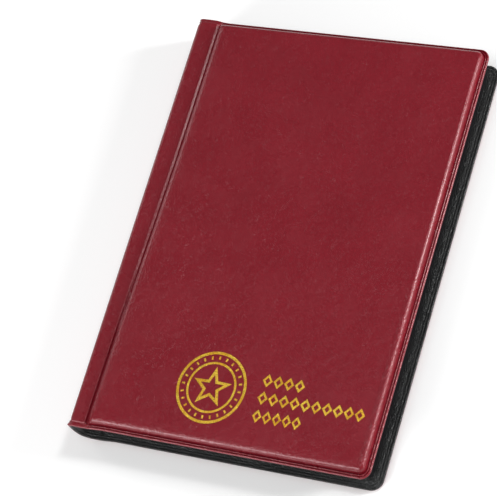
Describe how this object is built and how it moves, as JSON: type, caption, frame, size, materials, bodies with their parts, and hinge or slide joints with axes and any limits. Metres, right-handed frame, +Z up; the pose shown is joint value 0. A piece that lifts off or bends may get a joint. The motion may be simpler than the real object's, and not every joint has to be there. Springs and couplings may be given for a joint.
{
  "type": "coin album",
  "caption": "Pocket coin album with padded vinyl covers, a folding spine and welded clear-pocket leaves for storing coins flat.",
  "frame": {"origin": "under the middle of the closed album, on the face it rests on", "axes": "+X from the spine to the fore-edge, +Y along the spine from tail to head, +Z up through the leaves to the front cover"},
  "size_m": [0.13, 0.18, 0.0195],
  "materials": {
    "red_vinyl": "fine-grained burgundy vinyl, satin",
    "black_vinyl": "grained black vinyl, satin",
    "greyboard": "greyboard, matte",
    "foam": "open-cell foam, matte",
    "gold_foil": "hot-stamped gold foil, bright with worn edges",
    "black_sheet": "smooth black vinyl sheet, matte",
    "clear_film": "clear soft vinyl film, glossy"
  },
  "bodies": {
    "back_cover": {"back_skin": "red_vinyl", "back_board": "greyboard", "back_lining": "black_vinyl"},
    "back_strip": {"back_strip_skin": "red_vinyl", "back_strip_lining": "black_vinyl"},
    "spine": {"spine_skin": "red_vinyl", "spine_board": "greyboard", "spine_lining": "black_vinyl", "binding_comb": "clear_film"},
    "front_strip": {"front_strip_skin": "red_vinyl", "front_strip_lining": "black_vinyl"},
    "front_cover": {"front_skin": "red_vinyl", "front_foam_pad": "foam", "front_board": "greyboard", "front_lining": "black_vinyl", "foil_emblem": "gold_foil", "foil_band_1": "gold_foil", "foil_band_2": "gold_foil", "foil_band_3": "gold_foil"},
    "leaf_01": {"leaf_01_backing": "black_sheet", "leaf_01_front_pockets": "clear_film", "leaf_01_back_pockets": "clear_film"},
    "leaf_02": {"leaf_02_backing": "black_sheet", "leaf_02_front_pockets": "clear_film", "leaf_02_back_pockets": "clear_film"},
    "leaf_03": {"leaf_03_backing": "black_sheet", "leaf_03_front_pockets": "clear_film", "leaf_03_back_pockets": "clear_film"},
    "leaf_04": {"leaf_04_backing": "black_sheet", "leaf_04_front_pockets": "clear_film", "leaf_04_back_pockets": "clear_film"},
    "leaf_05": {"leaf_05_backing": "black_sheet", "leaf_05_front_pockets": "clear_film", "leaf_05_back_pockets": "clear_film"},
    "leaf_06": {"leaf_06_backing": "black_sheet", "leaf_06_front_pockets": "clear_film", "leaf_06_back_pockets": "clear_film"},
    "leaf_07": {"leaf_07_backing": "black_sheet", "leaf_07_front_pockets": "clear_film", "leaf_07_back_pockets": "clear_film"},
    "leaf_08": {"leaf_08_backing": "black_sheet", "leaf_08_front_pockets": "clear_film", "leaf_08_back_pockets": "clear_film"},
    "leaf_09": {"leaf_09_backing": "black_sheet", "leaf_09_front_pockets": "clear_film", "leaf_09_back_pockets": "clear_film"},
    "leaf_10": {"leaf_10_backing": "black_sheet", "leaf_10_front_pockets": "clear_film", "leaf_10_back_pockets": "clear_film"}
  },
  "joints": [
    {"name": "back_groove", "type": "hinge", "parent": "back_cover", "child": "back_strip", "pos_m": [-0.0568, 0, 0.0014], "axis": [0, -1, 0], "range_deg": [0, 90]},
    {"name": "spine_opening", "type": "hinge", "parent": "back_strip", "child": "spine", "pos_m": [-0.064, 0, 0.001], "axis": [0, -1, 0], "range_deg": [0, 90]},
    {"name": "front_strip_fold", "type": "hinge", "parent": "spine", "child": "front_strip", "pos_m": [-0.064, 0, 0.016], "axis": [0, -1, 0], "range_deg": [0, 90]},
    {"name": "front_groove", "type": "hinge", "parent": "front_strip", "child": "front_cover", "pos_m": [-0.0568, 0, 0.0156], "axis": [0, -1, 0], "range_deg": [0, 90]},
    {"name": "leaf_01_turn", "type": "hinge", "parent": "spine", "child": "leaf_01", "pos_m": [-0.06242, 0, 0.01442], "axis": [0, -1, 0], "range_deg": [0, 90]},
    {"name": "leaf_02_turn", "type": "hinge", "parent": "spine", "child": "leaf_02", "pos_m": [-0.06172, 0, 0.01372], "axis": [0, -1, 0], "range_deg": [0, 90]},
    {"name": "leaf_03_turn", "type": "hinge", "parent": "spine", "child": "leaf_03", "pos_m": [-0.06095, 0, 0.01295], "axis": [0, -1, 0], "range_deg": [0, 90]},
    {"name": "leaf_04_turn", "type": "hinge", "parent": "spine", "child": "leaf_04", "pos_m": [-0.0601, 0, 0.01209], "axis": [0, -1, 0], "range_deg": [0, 90]},
    {"name": "leaf_05_turn", "type": "hinge", "parent": "spine", "child": "leaf_05", "pos_m": [-0.05914, 0, 0.01114], "axis": [0, -1, 0], "range_deg": [0, 90]},
    {"name": "leaf_06_turn", "type": "hinge", "parent": "spine", "child": "leaf_06", "pos_m": [-0.05914, 0, 0.00586], "axis": [0, 1, 0], "range_deg": [0, 90]},
    {"name": "leaf_07_turn", "type": "hinge", "parent": "spine", "child": "leaf_07", "pos_m": [-0.0601, 0, 0.0049], "axis": [0, 1, 0], "range_deg": [0, 90]},
    {"name": "leaf_08_turn", "type": "hinge", "parent": "spine", "child": "leaf_08", "pos_m": [-0.06095, 0, 0.00405], "axis": [0, 1, 0], "range_deg": [0, 90]},
    {"name": "leaf_09_turn", "type": "hinge", "parent": "spine", "child": "leaf_09", "pos_m": [-0.06172, 0, 0.00328], "axis": [0, 1, 0], "range_deg": [0, 90]},
    {"name": "leaf_10_turn", "type": "hinge", "parent": "spine", "child": "leaf_10", "pos_m": [-0.06242, 0, 0.00258], "axis": [0, 1, 0], "range_deg": [0, 90]}
  ],
  "couplings": [
    {"joint": "front_strip_fold", "follows": "spine_opening", "ratio": 1},
    {"joint": "leaf_01_turn", "follows": "spine_opening", "ratio": 1},
    {"joint": "leaf_02_turn", "follows": "spine_opening", "ratio": 0.994},
    {"joint": "leaf_03_turn", "follows": "spine_opening", "ratio": 0.988},
    {"joint": "leaf_04_turn", "follows": "spine_opening", "ratio": 0.982},
    {"joint": "leaf_05_turn", "follows": "spine_opening", "ratio": 0.976},
    {"joint": "leaf_06_turn", "follows": "spine_opening", "ratio": 0.976},
    {"joint": "leaf_07_turn", "follows": "spine_opening", "ratio": 0.982},
    {"joint": "leaf_08_turn", "follows": "spine_opening", "ratio": 0.988},
    {"joint": "leaf_09_turn", "follows": "spine_opening", "ratio": 0.994},
    {"joint": "leaf_10_turn", "follows": "spine_opening", "ratio": 1}
  ]
}
